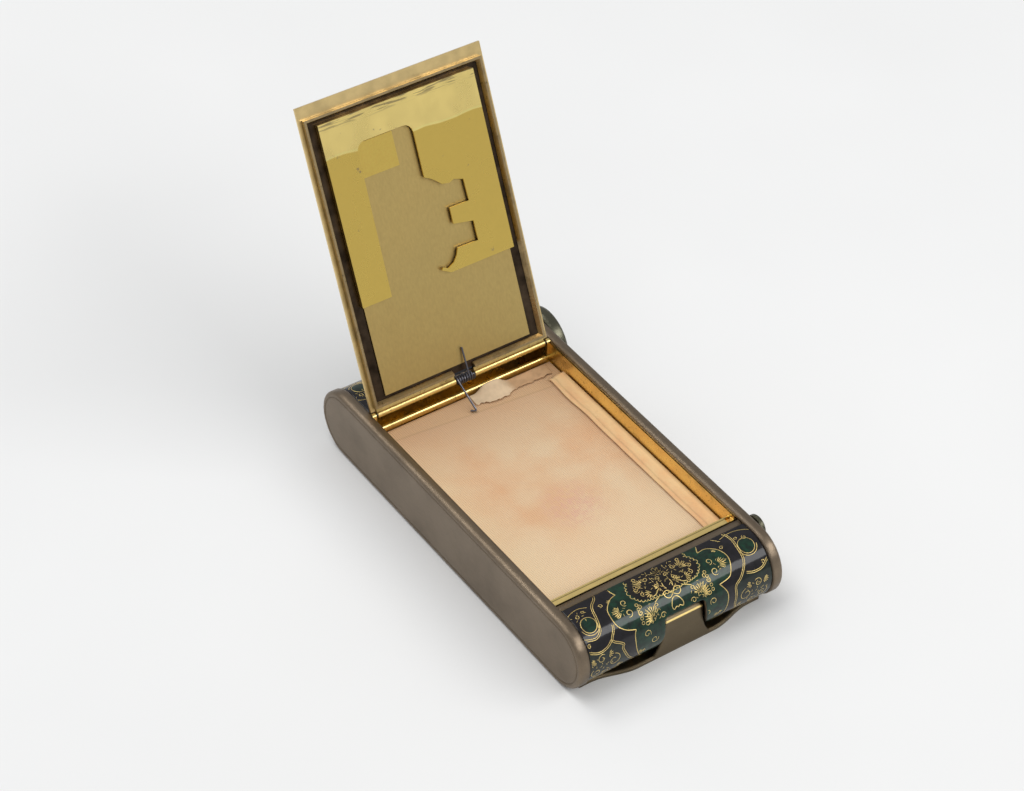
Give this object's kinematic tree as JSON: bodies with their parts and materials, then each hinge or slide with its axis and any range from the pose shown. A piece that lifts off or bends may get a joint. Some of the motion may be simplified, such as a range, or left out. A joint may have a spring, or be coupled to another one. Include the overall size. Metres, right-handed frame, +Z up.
{
  "type": "vanity case",
  "caption": "Slim round-ended vanity case with enamelled ends, a spring-hinged lid standing open, a gilt powder well under gauze and a push button.",
  "frame": {"origin": "middle of the closed case's footprint, on its flat underside", "axes": "+X towards the push button, +Y from the thumb notch towards the hinge, +Z up"},
  "size_m": [0.0512, 0.1026, 0.0733],
  "materials": {
    "left_cap": "oxidised bronze",
    "right_cap": "oxidised bronze",
    "enamel_shell": "gloss enamel with gold lines",
    "base_cover": "satin",
    "gilt": "worn gilding",
    "gauze": "powdered silk gauze",
    "tape": "matte tape",
    "torn_paper": "torn thin paper",
    "lid_plate": "gloss enamel outside, brass inside",
    "lid_frame": "worn gilding",
    "lid_panel": "dull satin",
    "lid_cut_sheet": "bright satin",
    "steel": "dark spring steel",
    "barrel_knob": "dark bronze",
    "push_button": "dark bronze"
  },
  "bodies": {
    "case": {"left_cap": "left_cap", "right_cap": "right_cap", "front_end_shell": "enamel_shell", "rear_end_shell": "enamel_shell", "base_cover": "base_cover", "powder_well": "gilt", "gauze_sifter": "gauze", "side_tape": "tape", "torn_paper": "torn_paper", "hinge_rod": "steel", "hinge_spring": "steel", "barrel_knob": "barrel_knob"},
    "lid": {"lid_plate": "lid_plate", "lid_frame": "lid_frame", "lid_panel": "lid_panel", "lid_cut_sheet": "lid_cut_sheet", "lid_patch": "lid_cut_sheet", "hinge_leaf_left": "gilt", "hinge_leaf_right": "gilt", "spring_upper_leg": "steel"},
    "button": {"push_button": "push_button", "latch_bar": "gilt"}
  },
  "joints": [
    {"name": "lid_hinge", "type": "hinge", "parent": "case", "child": "lid", "pos_m": [0, 0.03005, 0.01455], "axis": [1, 0, 0], "range_deg": [0, 114.6], "stiffness_Nm_per_rad": 0.004, "springref_deg": -17.19},
    {"name": "button_press", "type": "slide", "parent": "case", "child": "button", "axis": [-1, 0, 0], "range_m": [0, 0.0005], "stiffness_N_per_m": 600, "springref_m": -0.001}
  ]
}
